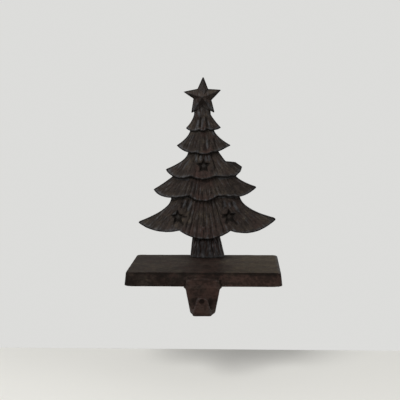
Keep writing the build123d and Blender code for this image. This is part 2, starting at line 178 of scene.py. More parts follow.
class StudioSettings(bpy.types.PropertyGroup):
    """Floor, lamps and camera."""

    floor_drop: FloatProperty(
        name="Floor", description="Floor below the plane that the base rests on",
        default=75 * MM, unit="LENGTH",
    )
    floor_back: FloatProperty(
        name="Floor edge", description="Back edge of the floor behind the middle of the base",
        default=52 * MM, unit="LENGTH",
    )
    floor_reach: FloatProperty(
        name="Floor reach", description="Size of the floor to the front and to each side",
        default=2.0, unit="LENGTH",
    )
    floor_colour: FloatVectorProperty(
        name="Floor colour", description="Colour of the pale floor",
        subtype="COLOR", size=3, default=(0.845, 0.835, 0.790),
    )
    backdrop_colour: FloatVectorProperty(
        name="Backdrop colour", description="Colour of the pale backdrop",
        subtype="COLOR", size=3, default=(0.72, 0.72, 0.705),
    )
    ambient: FloatProperty(
        name="Ambient", description="Strength of the even light from all round", default=0.22, min=0,
    )
    key_power: FloatProperty(
        name="Key", description="Power of the large soft lamp above and in front",
        default=12.6, unit="POWER",
    )
    fill_power: FloatProperty(
        name="Fill", description="Power of the soft lamp at the side", default=2.0, unit="POWER",
    )
    back_power: FloatProperty(
        name="Back", description="Power of each of the two soft lamps behind", default=3.5, unit="POWER",
    )
    focal_pixels: FloatProperty(
        name="Focal length", description="Focal length of the camera in pixels of the photograph",
        default=916.9,
    )
    camera_place: FloatVectorProperty(
        name="Camera place", description="Place of the camera",
        subtype="TRANSLATION", size=3, default=(28.98 * MM, -728.61 * MM, 142.86 * MM),
    )
    camera_turn: FloatVectorProperty(
        name="Camera turn", description="Pitch, roll and yaw of the camera away from level",
        subtype="EULER", size=3, default=(radians(-6.340), radians(0.221), radians(2.579)),
    )


class HolderSettings(bpy.types.PropertyGroup):
    """All settings of the stocking holder."""

    casting: PointerProperty(type=CastingDetail)
    colours: PointerProperty(type=IronColours)
    studio: PointerProperty(type=StudioSettings)


@dataclass
class Tier:
    """Where the needles of one tier of boughs run, in millimetres of the front view.

    Each needle starts on the line between the shoulders and fans out to the hem.
    """

    shoulders: tuple  # left x, right x, height
    tips: tuple  # left x, right x, height
    hem: float  # height of the wings' hem
    lobe: tuple  # middle x, half width, height of its lowest point
    needles: int
    wings: float  # depth of the needles on the wings, as a share of those on the lobe


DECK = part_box("base_with_hook")[1][2] / MM  # height of the deck above the shelf, in millimetres
TIERS = [
    Tier((-9.8, 3.6, 129.1), (-16.2, 11.6, 118.4), 116.4, (-2.2, 3.0, 115.8), 11, 1.0),
    Tier((-13.2, 6.6, 115.5), (-24.0, 19.6, 104.0), 99.2, (1.2, 5.4, 97.1), 17, 0.8),
    Tier((-14.8, 10.3, 98.2), (-32.8, 29.8, 85.0), 77.6, (-2.0, 10.0, 76.4), 25, 0.8),
    Tier((-29.0, 25.0, 77.5), (-43.2, 41.0, 68.1), 61.6, (-2.2, 11.6, 58.4), 39, 0.8),
    Tier((-29.2, 27.9, 60.4), (-56.4, 57.4, 41.1), 32.4, (-0.6, 21.6, 27.1), 53, 0.9),
]
TRUNK = Tier((-11.1, 10.3, 30.6), (-13.3, 14.9, DECK), DECK, (0.8, 14.0, DECK), 15, 1.0)

# Places on the holder, in millimetres
PAD_SIDE = 13.0  # half width of the hook's pad
HOOK_START = 42.5  # where the hook leaves the base, in front of the middle
HOOK_FREE = 45.0  # where the hook is clear of the base
TAB_FRONT = 46.8  # the tab's front face, in front of the middle
TAB_SPARE = 1.0  # what lies this close to it counts as the tab's front
BEHIND_HOLE = (-0.4, -10.3)  # where the tongue's hole looks onto the tab, across and up
TRUNK_FOOT = (0.8, 27.0)  # front of the trunk's foot on the deck
TRUNK_FOOT_HALF = 12.0  # half width of the trunk's foot
TRUNK_TOP = TRUNK.shoulders[2]
CROWN_TOP = 140.0  # above this height there is only the star
STAR_ACROSS = -2.8  # the top star's middle
STAR_MIDDLE = 143.9  # height of the top star's middle
SMALL_STARS = [(-2.1, 87.3, 2.0), (-23.7, 44.5, 3.0), (19.2, 45.1, 5.0)]  # x, height, turn in degrees
SMALL_STAR_RADII = (6.4, 3.0)  # at the arms' tips and between the arms
SMALL_STAR_REACH = 7.0  # the needles stay this far from a small star's middle

# Needles and bark: lengths in millimetres, and pairs of least and most
NEEDLE_SEED = 7
NEEDLE_WIDTHS = (0.8, 1.5)  # shares of the set width
NEEDLE_DEPTHS = (0.35, 1.0)  # shares of the set depth
NEEDLE_SWAYS = (0.1, 0.4)
NEEDLE_STRAY = 0.3  # how far a needle strays to a side, as a share of its room
NEEDLE_DROP = 0.12  # how far down a needle may start, as a share of its tier
SWAY_LENGTH = 1.7  # a needle's sway turns by one radian in this length
SWAY_PHASES = (0, 6)  # radians
BARK_WIDTH = 1.2  # the bark's grooves are wider than needles
BARK_SWAY = 1.8  # and less straight
TIP_CURVE = 5  # how late a hem curves up to its tips
TIP_SPARE = 1.03  # a hem reaches a little past its tips
NEEDLE_LENGTH = 7.0  # a streak of the finish along the needles
TIER_SHIFT = 7  # streaks differ from tier to tier by this times the tier's height
HEM_SPARE = 1.0  # a tier's streaks run on below its hem
PLAIN_STREAK = (2, 10)  # a streak where no needles run, across and along
BASE_STREAK = (1.6, 4)  # a streak on the base, across and along

# Ends of the smooth steps by which marks, melting and carving fade in or out; places in millimetres
TO_FRONT = (0.25, 0.7)  # how far a face looks to the front
TO_FRONT_CARVED = (0.25, 0.6)
TO_FRONT_MELTED = (0.0, 0.5)
TO_BACK = (0.3, 0.7)  # how far a face looks to the back
DECK_TURN = (0.85, 0.98)  # how far the deck looks up
RIM_TURN = (0.2, 0.5)  # how far the deck's rim looks up, where a highlight is painted
STAR_TURN = (-0.3, 0.2)  # how far the star's facets look up that get a painted highlight
CROWN_OPEN_TURN = (-0.1, 0.4)  # how far the star's facets look up that get painted light in olive
CROWN_DARK_TURN = (0.1, 0.6)  # how far the star's facets look down that get painted shade
HEM_TURN = (-0.08, 0.1)  # how far the boughs' hem rims look down, where a highlight is painted
HOOK_ROOT = (HOOK_START, HOOK_FREE)  # in front of the middle, where the hook's rounding begins
PAD_ROOT = (HOOK_START - 0.4, HOOK_START)  # and where that of the pad's thin wings begins
PAD_WINGS = (PAD_SIDE - 1, PAD_SIDE + 0.5)  # across, where those wings begin
WINGS_FROM = (TRUNK_TOP - 12, TRUNK_TOP)  # height where the melted wings begin
WINGS_UNTIL = (CROWN_TOP - 14, CROWN_TOP - 10)  # and where they end
BOUGHS_FROM = (TRUNK_TOP - 8, TRUNK_TOP)  # height where the trunk passes into the boughs
CROWN_FROM = (CROWN_TOP - 6, CROWN_TOP - 2)  # height where the crown's finish begins
STAR_FROM = (CROWN_TOP - 3, CROWN_TOP)  # height where the crown passes into the star
LOW_TIERS = (75, 100)  # height where the lower tiers pass into the upper ones
LEFT_WINGS = (4, 16)  # left of the middle, where the wings are lighter
RIGHT_WINGS = (8, 24)  # right of the middle, where the wings are in shade
RIGHT_TOP = (95, 112)  # height where that shade ends
RIGHT_MIDDLE = (50, 70)  # height where it grows deeper
STAR_TIPS = (11, 16)  # from the top star's middle to its dark tips
MELTED_STARS = (0.9 * SMALL_STAR_REACH, SMALL_STAR_REACH)  # from a small star's middle, here and below
CARVED_STARS = (0.8 * SMALL_STAR_REACH, SMALL_STAR_REACH)
WINGS_AT_STARS = (SMALL_STAR_REACH, 1.4 * SMALL_STAR_REACH)
CREASES_AT_STARS = (SMALL_STAR_RADII[0], 1.3 * SMALL_STAR_RADII[0])
# from a small star's middle, where its painted glint fades
STAR_CENTRES = (1.0, 2.4)
POCKET_ARMS = (0.8, 3.0)
POCKET_EDGE = (-0.9, 0.4)  # across the edge of a small star's pocket
BLUSH_SIZE = (1.1, 0.6)  # the red brown on a lobe, as shares of its half width and of its height
BLUSH_ACROSS = (0.5, 1.0)  # where it fades, as shares of that size
BLUSH_UP = (0.3, 1.0)
LEFT_TO_RIGHT = (-30, 30)  # across the base, where its dark left side turns red brown
FRONT_EDGE = (0.0, 4.5)  # below the deck, on the base's front edge
SHELTER = (3, 14)  # from the trunk's foot over the deck, where its shadow is painted
BY_TRUNK = (0.5 * TRUNK_FOOT_HALF, 2 * TRUNK_FOOT_HALF)  # across, from the middle of the trunk, where the tree's reflection is painted on the deck, partly wear
TAB_LOW = (6, 10)  # below the shelf, where the tab lies in shade behind the tongue
HOLE_SHADE = (2.0, 4.0)  # from the point behind the tongue's hole
DECK_BACK = (-44, -12)  # from the deck's front to its middle, where painted light makes the deck lighter to the back
DECK_RIM = (55, 59)  # across the deck, its right rim, where a highlight is painted
DECK_OLIVE = (6, 40)  # across the deck, where painted light turns its right side lighter olive
LINE_STARTS = (-0.1, 0.25)  # where a carved line sets in, as shares of its length
LINE_ENDS = (0.7, 1.1)  # where it runs out
FOLD_MARK = 0.8  # width of a fold's mark, as a share of the fold's
LOBE_SIDES = (0.9, 1.2)  # where a lobe passes into the wings, as shares of its half width
EDGE_BAND = (0.05, 0.22)  # painted shade on the boughs' edges that turn away, as shares of what turns away nearby
SIDE_BAND = (0.6, 0.9)  # painted shade on the boughs' sides, in the same shares

# Rounds of averaging, close by and farther off, and the height in millimetres that counts as 1
TREE_RELIEF = (5, 24, 0.4)
TREE_GAPS = (8, 30, 0.7)
BASE_RELIEF = (6, 40, 0.5)
EDGE_ROUNDS = 14  # rounds that widen the boughs' dark edges
HEM_ROUNDS = 24  # rounds that widen the hem rims


@dataclass
class Fold:
    """A single bold fold of the boughs, in millimetres of the front view.

    Above the crown it is only a rubbed streak on the star.
    """

    start: tuple
    end: tuple
    rise: float  # height of a ridge, negative for a cut
    width: float  # half width


FOLDS = [
    Fold((-5.8, 132.0), (-5.4, 126.5), 0.4, 1.2),
    Fold((-6.0, 125.5), (-7.6, 118.5), 0.5, 1.3),
    Fold((-4.2, 127.5), (-5.0, 118.0), -0.6, 0.9),
    Fold((-2.6, 127.0), (-3.3, 118.0), 0.4, 1.2),
    Fold((0.5, 128.5), (0.9, 118.0), -0.5, 0.9),
    Fold((0.7, 109.0), (1.2, 100.5), 0.4, 1.2),
    Fold((-1.1, 106.5), (-1.6, 99.0), -0.5, 1.0),
    Fold((2.6, 109.0), (2.7, 101.0), -0.4, 0.9),
    Fold((5.0, 116.5), (6.8, 111.5), 0.4, 1.1),
    Fold((6.3, 111.0), (8.0, 101.0), -0.4, 1.0),
    Fold((-8.5, 98.0), (-7.8, 89.5), 0.5, 1.5),
    Fold((-4.2, 96.5), (-4.6, 90.5), 0.4, 1.2),
    Fold((-0.3, 96.0), (-0.3, 90.5), 0.4, 1.2),
    Fold((2.2, 96.5), (2.6, 90.5), 0.5, 1.3),
    Fold((5.5, 92.5), (8.0, 82.0), -0.7, 1.2),
    Fold((-11.8, 58.5), (-15.6, 49.0), 0.7, 1.6),
    Fold((-16.8, 59.0), (-19.2, 52.0), 0.6, 1.4),
    Fold((-14.8, 59.5), (-16.0, 52.5), -0.6, 1.0),
    Fold((-19.9, 57.0), (-21.2, 50.5), -0.7, 1.1),
    Fold((14.7, 59.0), (16.4, 52.0), 0.4, 1.2),
    Fold((19.0, 57.0), (20.0, 51.5), 0.4, 1.2),
    Fold((22.0, 57.5), (27.2, 48.5), 0.6, 1.7),
    Fold((20.9, 57.5), (22.2, 53.0), -0.6, 1.0),
    Fold((13.3, 58.0), (13.8, 52.0), -0.4, 1.0),
    Fold((-3.0, 153.5), (-3.6, 144.2), 0.4, 1.1),
]
STAR_CUTS = [  # where the arms of the two lower stars run on past their pockets
    Fold((-21.0, 44.6), (-15.2, 44.7), -0.9, 0.8),
    Fold((-25.0, 42.0), (-27.7, 37.9), -0.9, 0.8),
    Fold((-22.0, 41.5), (-18.5, 37.4), -0.9, 0.8),
    Fold((17.5, 44.8), (12.2, 44.4), -0.9, 0.9),
    Fold((18.4, 42.5), (16.8, 38.0), -0.9, 0.8),
    Fold((21.2, 42.5), (26.6, 38.0), -0.9, 0.8),
]

# How far each mark shows, 1 is all of it: rubbed grey and painted highlights, dark finish and painted
# shade, red brown, olive and painted light
TREE_RUB_AND_SHEEN = SimpleNamespace(
    wing_ridges=1.4,
    lobe_ridges=0.8,
    wings=0.1,
    left_wings=0.13,  # more than the wings
    trunk=0.55,
    # painted highlight along the hem rims
    hem_highlights=0.5,
    low_hem_highlights=0.6,  # more than the other hems
    lobe_hem_highlights=-0.9,  # less than the other hems
    # painted highlight on the top star's upward facets
    star=1.2,
    star_face=0.6,  # how much weaker marks are on the star's front
    # painted glint at the small stars' middles
    small_star_glints=0.5,
    # rubbed grey and painted highlight on the rising folds
    folds=1.3,
)
TREE_DARK = SimpleNamespace(
    creases=0.6,  # on the boughs, more than on the trunk; dark finish and painted shade in the creases
    trunk_creases=0.4,
    # painted shadow under the hems
    hem_shadows=1.5,
    # painted shade on the top star's downward facets
    crown=0.6,
    # painted shade on the boughs' edges and sides that turn away
    edges=0.9,
    sides=0.4,
    right_wings=0.24,
    right_middle=0.14,  # more than the other right wings
    star=0.18,
    star_tips=0.6,  # more than the star
    # dark finish and painted shade in the small stars' pockets
    pocket_dark_and_shade=0.85,
    pocket_middle=0.45,  # share of the pockets' dark at their middle, whose wider floor is lit: painted light
    folds=0.7,
    star_cuts=0.9,
)
TREE_BLUSH = 0.7
TREE_OPEN = 0.22
# painted light in olive on the top star's upward facets
CROWN_FACET_LIGHT = 0.6
# painted highlight on the deck's right rim
BASE_RUB_AND_SHEEN = SimpleNamespace(ridges=0.3, rim_highlight=0.9)
BASE_DARK = SimpleNamespace(
    creases=0.35,
    front_edge=0.75,
    left=0.5,
    # painted shadow of the trunk on the deck
    trunk_shadow=0.5,
    tree_reflection_and_wear=0.3,
    tab=0.4,
    behind_hole=0.9,
)
BASE_BLUSH = SimpleNamespace(sides=0.5, right=0.5, tree_reflection_and_wear=0.5)
BASE_OLIVE_AND_LIGHT = SimpleNamespace(deck=0.22, back=0.12, right=0.5, tree_reflection_and_wear=-0.3)

# Sizes of the finish's patterns
DRIFT_SIZE = 30 * MM
CLOUD_SIZE = 12 * MM
SPECKLE_SIZE = 2.0 * MM
SAND_SIZE = 0.9 * MM
PIT_SIZE = 0.55 * MM
PIT_DEPTH = 0.14 * MM
SPANGLE_SIZE = 2.2 * MM

# Where each layer of the finish sets in and where it is full, and how much of it shows at most
RED_RANGE = (0.47, 0.83)
PALE_RANGE = (0.55, 1.15)
RUBBED_RANGE = (0.25, 1.05)
SOOT_RANGE = (1.42, 1.87)
DARK_RANGE = (0.08, 0.8)
SPANGLE_RANGE = (0.35, 0.7)
PALE_SHARE = 0.9
SOOT_SHARE = 0.64
DARK_SHARE = 0.9
METAL_SHARE = 0.3


@dataclass
class Lamp:
    """A round soft lamp that looks at the middle of the holder, in metres."""

    name: str
    power: str  # the studio setting that holds its power
    size: float
    place: tuple


LAMPS = [
    Lamp("key", "key_power", 0.7, (-0.4, -0.85, 0.85)),
    Lamp("fill", "fill_power", 0.8, (0.95, -0.35, 0.45)),
    Lamp("back_right", "back_power", 0.5, (0.95, 0.8, 0.2)),
    Lamp("back_left", "back_power", 0.5, (-0.95, 0.8, 0.2)),
]


# Shader maths

class Value:
    """A shader socket in a Python sum: each operator adds a Math node to the socket's tree."""

    def __init__(self, socket):
        self.socket = socket

    def maths(self, operation, first, second):
        tree = self.socket.id_data
        node = tree.nodes.new("ShaderNodeMath")
        node.operation = operation
        feed(tree, first, node.inputs[0])
        feed(tree, second, node.inputs[1])
        return Value(node.outputs[0])

    def __add__(self, other):
        return self.maths("ADD", self, other)

    def __sub__(self, other):
        return self.maths("SUBTRACT", self, other)

    def __rsub__(self, other):
        return self.maths("SUBTRACT", other, self)

    def __mul__(self, other):
        return self.maths("MULTIPLY", self, other)

    __radd__ = __add__
    __rmul__ = __mul__


def feed(tree, value, socket):
    """Links a Value to a socket, or sets the socket to a plain number or colour."""
    if isinstance(value, Value):
        tree.links.new(value.socket, socket)
    elif socket.type == "RGBA":
        socket.default_value = (*value[:3], 1.0)
    else:
        socket.default_value = value


class Shading:
    """A node tree under construction."""

    def __init__(self, tree):
        self.tree = tree
        tree.nodes.clear()

    def node(self, kind, settings=None, sockets=None, output=0):
        """Adds a node: its settings first, then the values or links of its sockets."""
        node = self.tree.nodes.new(kind)
        for name, value in (settings or {}).items():
            setattr(node, name, value)
        for name, value in (sockets or {}).items():
            feed(self.tree, value, node.inputs[name])
        return Value(node.outputs[output]) if node.outputs else None

    def blend(self, share, low, high):
        """Colour between low and high."""
        return self.node("ShaderNodeMix", {"data_type": "RGBA"}, {0: share, 6: low, 7: high}, 2)

    def ramp(self, value, low, high):
        """0 below low, 1 above high and a smooth step between them."""
        settings = {"interpolation_type": "SMOOTHSTEP"}
        sockets = {"Value": value, "From Min": low, "From Max": high}
        return self.node("ShaderNodeMapRange", settings, sockets)

    def noise(self, place, size, detail=3.0, roughness=0.55):
        """Noise with features of about this size in metres, mostly between 0.3 and 0.7."""
        sockets = {"Vector": place, "Scale": 1 / size, "Detail": detail, "Roughness": roughness}
        return self.node("ShaderNodeTexNoise", None, sockets)

    def attribute(self, name, output="Fac"):
        """A mesh attribute of the piece, as a number or as a vector."""
        return self.node("ShaderNodeAttribute", {"attribute_name": name}, None, output)


def new_finish(name):
    material = bpy.data.materials.new(name)
    material.use_nodes = True
    return material, Shading(material.node_tree)


def swing(noise):
    """How far a noise lies above its middle."""
    return noise - 0.5


def antique_iron(name, colours, mottle_size, rub_and_sheen, gloss):
    """Sand-cast iron under a brown-black antique finish, rubbed to grey along the ridges,
    with painted highlights, painted shade and painted light in its colour.

    Attributes of the mesh guide it: one for rubbed grey and painted highlights, one for the
    dark finish and painted shade, blush for red brown, one for olive and painted light, and run,
    whose first axis lies across the streaks of the finish. Each layer is a weighted sum of marks
    and noises, put through its range.
    """
    material, shading = new_finish(name)
    place = shading.node("ShaderNodeTexCoord", None, None, "Object")
    marks = ("ridge", "hollow", "blush", "open")
    ridge, hollow, blush, olive_and_light = (shading.attribute(mark) for mark in marks)
    drift = shading.noise(place, DRIFT_SIZE)
    mottle = shading.noise(place, mottle_size, 4.0)
    speckle = shading.noise(place, SPECKLE_SIZE, 3.0, 0.6)
    grain = shading.noise(place, SAND_SIZE, 4.0, 0.65)
    pits = shading.noise(place, PIT_SIZE, 3.0, 0.6)
    streak = shading.noise(shading.attribute("run", "Vector"), 1.0, 3.0, 0.6)
    clouds = shading.noise(place, CLOUD_SIZE, 5.0, 0.6) + swing(grain) * 0.6

    red = shading.ramp(clouds + blush * 0.3, *RED_RANGE)
    tint = shading.blend(red, colours.brown, colours.rust)
    patches = 1.0 - clouds + swing(speckle) + swing(streak) * 0.8
    # Olive, and painted light on the deck and on the top star's upward facets
    pale = shading.ramp(patches + olive_and_light * 0.6, *PALE_RANGE)
    tint = shading.blend(pale * PALE_SHARE, tint, colours.olive)
    scuffs = swing(mottle) * 0.8 + swing(speckle) * 0.6 + swing(streak) * 1.4
    # Rubbed grey on the ridges, and painted highlight on ridges, hem rims, star facets and folds
    rubbed = shading.ramp(ridge + scuffs, *RUBBED_RANGE) * rub_and_sheen
    tint = shading.blend(rubbed, tint, colours.worn_and_sheen)
    crust = drift * 0.7 + mottle + speckle * 1.1 + grain * 0.5 - swing(streak) * 0.8
    soot = shading.ramp(crust, *SOOT_RANGE) * SOOT_SHARE
    skin = shading.blend(soot * (1.0 - olive_and_light * 0.35), tint, colours.black)
    # Black where the finish lies thick, and painted shade in creases, under the hems, on edges, in
    # pockets, near the trunk and behind the hook's tongue
    dark = shading.ramp(hollow * (0.1 + 1.8 * mottle) + swing(grain) * 0.3, *DARK_RANGE)
    skin = shading.blend(dark * DARK_SHARE, skin, colours.black)

    bump = shading.node("ShaderNodeBump", None, {
        "Strength": 0.6,
        "Distance": PIT_DEPTH,
        "Height": speckle + grain * 0.7 + pits * 0.4 + streak * 0.5,
    })
    surface = shading.node("ShaderNodeBsdfPrincipled", None, {
        "Base Color": skin,
        "Roughness": 0.72 - 0.2 * mottle - 0.14 * rubbed + 0.2 * hollow,
        "Metallic": rubbed * METAL_SHARE,
        "Specular IOR Level": gloss,
        "Normal": bump,
    })
    shading.node("ShaderNodeOutputMaterial", None, {"Surface": surface})
    return material


def plated_steel(name, colours):
    """Zinc plate with a fine spangle and a little dulling."""
    material, shading = new_finish(name)
    place = shading.node("ShaderNodeTexCoord", None, None, "Object")
    spangle = shading.noise(place, SPANGLE_SIZE, 4.0)
    dulled = shading.ramp(spangle, *SPANGLE_RANGE)
    surface = shading.node("ShaderNodeBsdfPrincipled", None, {
        "Base Color": shading.blend(dulled, colours.zinc, colours.dull_zinc),
        "Roughness": 0.28 + 0.25 * spangle,
        "Metallic": 1.0,
    })
    shading.node("ShaderNodeOutputMaterial", None, {"Surface": surface})
    return material


def pale_floor(name, colour):
    material, shading = new_finish(name)
    surface = shading.node("ShaderNodeBsdfPrincipled", None, {"Base Color": colour, "Roughness": 0.75})
    shading.node("ShaderNodeOutputMaterial", None, {"Surface": surface})
    return material


# Mesh work

def select_only(piece):
    bpy.ops.object.select_all(action="DESELECT")
    piece.select_set(True)
    bpy.context.view_layer.objects.active = piece


def apply_modifier(piece, kind, **settings):
    """Adds a modifier with these settings and applies it."""
    select_only(piece)
    bpy.ops.object.modifier_add(type=kind)
    modifier = piece.modifiers[-1]
    for name, value in settings.items():
        setattr(modifier, name, value)
    bpy.ops.object.modifier_apply(modifier=modifier.name)


def copy_node(node, name):
    """A copy of a construction node as a new piece, merged into one closed skin."""
    piece = bpy.data.objects.new(name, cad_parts[node].data.copy())
    bpy.context.scene.collection.objects.link(piece)
    select_only(piece)
    bpy.ops.object.mode_set(mode="EDIT")
    bpy.ops.mesh.select_all(action="SELECT")
    bpy.ops.mesh.remove_doubles(threshold=MERGE_DISTANCE)
    bpy.ops.object.mode_set(mode="OBJECT")
    return piece


def read_points(mesh, kind="vertices", field="co"):
    items = getattr(mesh, kind)
    values = np.empty(len(items) * 3, np.float32)
    items.foreach_get(field, values)
    return values.reshape(-1, 3).astype(float)


def write_points(mesh, points):
    mesh.vertices.foreach_set("co", points.astype(np.float32).ravel())
    mesh.update()


class Neighbours:
    """Averages over each vertex's neighbours in a mesh."""

    def __init__(self, mesh):
        ends = np.empty(len(mesh.edges) * 2, np.int32)
        mesh.edges.foreach_get("vertices", ends)
        self.a, self.b = ends.reshape(-1, 2).T
        self.size = len(mesh.vertices)
        self.count = np.maximum(1, np.bincount(ends, minlength=self.size))

    def mean(self, values):
        total = np.bincount(self.a, values[self.b], self.size)
        total += np.bincount(self.b, values[self.a], self.size)
        return total / self.count

    def smooth(self, values, rounds):
        for _ in range(rounds):
            values = 0.5 * values + 0.5 * self.mean(values)
        return values


def step(values, low, high):
    """0 below low, 1 above high and a smooth step between them."""
    share = np.clip((values - low) / (high - low), 0, 1)
    return share * share * (3 - 2 * share)


def store(mesh, name, values):
    """Stores a number from 0 to 1 at each point of a mesh."""
    attribute = mesh.attributes.new(name, "FLOAT", "POINT")
    attribute.data.foreach_set("value", np.clip(values, 0, 1).astype(np.float32))


def store_run(mesh, across, along):
    """Stores a place across and along the streaks of the finish at each point of a mesh."""
    attribute = mesh.attributes.new("run", "FLOAT_VECTOR", "POINT")
    places = np.stack((across, along, np.zeros(len(across))), 1)
    attribute.data.foreach_set("vector", places.astype(np.float32).ravel())


def relief(mesh, fine_rounds, broad_rounds, full):
    """How far each point stands above its surroundings, as a share of full millimetres."""
    points, normals = read_points(mesh), read_points(mesh, "vertex_normals", "vector")
    near = Neighbours(mesh)
    height = np.zeros(len(points))
    for rounds in (fine_rounds, broad_rounds):
        level = np.stack([near.smooth(points[:, i], rounds) for i in range(3)], 1)
        height += ((points - level) * normals).sum(1) / (full * MM)
    return near.smooth(height, 1)


def cast_skin(piece, node, skin, rounds):
    """Skins a casting evenly, on the construction node's faces, and melts its edges a little."""
    apply_modifier(piece, "REMESH", mode="VOXEL", voxel_size=skin, adaptivity=0.0)
    apply_modifier(piece, "SHRINKWRAP", target=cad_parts[node], wrap_method="NEAREST_SURFACEPOINT")
    apply_modifier(piece, "SMOOTH", factor=0.5, iterations=rounds)


def melt_relief(piece, rounds, share):
    """Melts the faces that look to the front in depth alone, so that the outline stays."""
    mesh = piece.data
    points, normals = read_points(mesh), read_points(mesh, "vertex_normals", "vector")
    share = share * step(-normals[:, 1], *TO_FRONT_MELTED)
    near = Neighbours(mesh)
    depth = points[:, 1]
    for _ in range(rounds):
        depth = depth + 0.5 * share * (near.mean(depth) - depth)
    points[:, 1] = depth
    write_points(mesh, points)


def fill_top(piece, node, from_height):
    """Stretches what lies above a height up to the top of the construction node's box."""
    points = read_points(piece.data)
    high = points[:, 2].max() - from_height
    share = np.clip((points[:, 2] - from_height) / high, 0, 1)
    points[:, 2] += share * (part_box(node)[1][2] - from_height - high)
    write_points(piece.data, points)


def round_edges(piece, rounds, share):
    """Rounds the edges of a piece where share is above 0."""
    mesh = piece.data
    points = read_points(mesh)
    near = Neighbours(mesh)
    for _ in range(rounds):
        level = np.stack([near.mean(points[:, i]) for i in range(3)], 1)
        points += 0.5 * share[:, None] * (level - points)
    write_points(mesh, points)


def round_hook(piece, rounds, wing_rounds):
    """Rounds the hook's edges a little, and the thin wings at the foot of its pad more."""
    x, y, _ = (read_points(piece.data) / MM).T
    round_edges(piece, rounds, step(-y, *HOOK_ROOT))
    wings = step(np.abs(x), *PAD_WINGS) * step(-y, *PAD_ROOT)
    round_edges(piece, wing_rounds, wings)


def lobe_cover(front):
    """1 on the ribbed middle lobes of the boughs in the front view, 0 on the wings."""
    x, z = front.T / MM
    cover = np.zeros(len(front))
    for tier in TIERS:
        middle, half, low = tier.lobe
        across = np.abs(x - middle) / half
        inside = (z > low) & (z < tier.shoulders[2])
        cover = np.maximum(cover, inside * (1 - step(across, *LOBE_SIDES)))
    return cover


def star_distance(front):
    """Distance in millimetres of the front view to the nearest small star's middle."""
    across, up = front.T / MM
    return np.minimum.reduce([np.hypot(across - x, up - z) for x, z, _ in SMALL_STARS])


def melt_boughs(piece, rounds):
    """Melts the relief all over but for the crisp sunk stars."""
    front = read_points(piece.data)[:, (0, 2)]
    clear = step(star_distance(front), *MELTED_STARS)
    melt_relief(piece, rounds, clear)


def smooth_wings(piece, rounds):
    """Melts the wings of the boughs further than their ribbed lobes, the stars and the trunk."""
    front = read_points(piece.data)[:, (0, 2)]
    z = front[:, 1] / MM
    share = 1 - lobe_cover(front)
    share *= step(star_distance(front), *WINGS_AT_STARS)
    share *= step(z, *WINGS_FROM)
    share *= 1 - step(z, *WINGS_UNTIL)
    melt_relief(piece, rounds, share)


def sand_texture(name, size, depth):
    texture = bpy.data.textures.new(name, "CLOUDS")
    texture.noise_scale = size
    texture.noise_depth = depth
    return texture


def sand_grain(piece, casting, node):
    """Slow unevenness and sand grain, kept inside the construction node's box."""
    ripple = sand_texture(piece.name + "_ripple", casting.ripple_size, 1)
    grain = sand_texture(piece.name + "_grain", casting.grain_size, 2)
    apply_modifier(piece, "DISPLACE", texture=ripple, strength=casting.ripple_depth, mid_level=SAND_LEVEL)
    apply_modifier(piece, "DISPLACE", texture=grain, strength=casting.grain_depth, mid_level=SAND_LEVEL)
    low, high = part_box(node)
    write_points(piece.data, np.clip(read_points(piece.data), low, high))


def finish_piece(piece, node, material):
    select_only(piece)
    bpy.ops.object.shade_smooth()
    piece.data.materials.clear()
    piece.data.materials.append(material)
    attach(piece, BODY)
    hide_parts(node)


def needle_lines(tier, rng):
    """Start, end and depth of each needle of a tier, in the front view."""
    lines = []
    middle, half, _ = tier.lobe
    for i in range(tier.needles):
        share = (i + 0.5 + rng.uniform(-NEEDLE_STRAY, NEEDLE_STRAY)) / tier.needles
        left, right, top = tier.shoulders
        drop = rng.uniform(0, NEEDLE_DROP) * (top - tier.hem)
        start = (left + (right - left) * share, top - drop)
        left, right, _ = tier.tips
        x = left + (right - left) * share
        depth = 1.0 if abs(x - middle) < half else tier.wings
        lines.append((start, (x, hem_height(tier, x)), depth))
    return lines


def hem_height(tier, x):
    """Height of a tier's hem at these places across it, all in millimetres of the front view."""
    left, right, tip = tier.tips
    middle, half, low = tier.lobe
    side = np.abs(2 * (x - left) / (right - left) - 1)
    bulge = np.maximum(0, 1 - ((x - middle) / half) ** 2)
    hem = tier.hem + (low - tier.hem) * bulge + (tip - tier.hem) * side**TIP_CURVE
    return np.where(side < TIP_SPARE, hem, np.inf)


def needle_run(front):
    """Place across and along the needles for each point of the front view, counted in needles."""
    x, z = front.T / MM
    across, along = x / PLAIN_STREAK[0], z / PLAIN_STREAK[1]
    for tier in (TRUNK, *reversed(TIERS)):
        left, right, top = tier.shoulders
        down = np.maximum(0, (top - z) / (top - tier.tips[2]))
        start = left + (tier.tips[0] - left) * down
        end = right + (tier.tips[1] - right) * down
        inside = z > hem_height(tier, x) - HEM_SPARE
        needle = tier.needles * (x - start) / (end - start) + TIER_SHIFT * top
        across = np.where(inside, needle, across)
        along = np.where(inside, (top - z) / NEEDLE_LENGTH, along)
    return across, along


def star_cover(front, place):
    """How dark a sunk star of the front view is, with dark finish and painted shade: most on its narrow
    arms, less at its lit middle, 0 outside.
    """
    x, height, turn = place
    tip, valley = SMALL_STAR_RADII
    across, up = front.T / MM - np.array(((x,), (height,)))
    reach = np.hypot(across, up)
    tenth = np.pi / 5
    angle = np.arctan2(across, up) + radians(turn)
    angle = np.abs((angle + tenth) % (2 * tenth) - tenth)
    edge = tip * valley * sin(tenth) / (valley * np.sin(tenth - angle) + tip * np.sin(angle))
    middle = TREE_DARK.pocket_middle
    dark = TREE_DARK.pocket_dark_and_shade * (middle + (1 - middle) * step(reach, *POCKET_ARMS))
    return dark * step(edge - reach, *POCKET_EDGE)


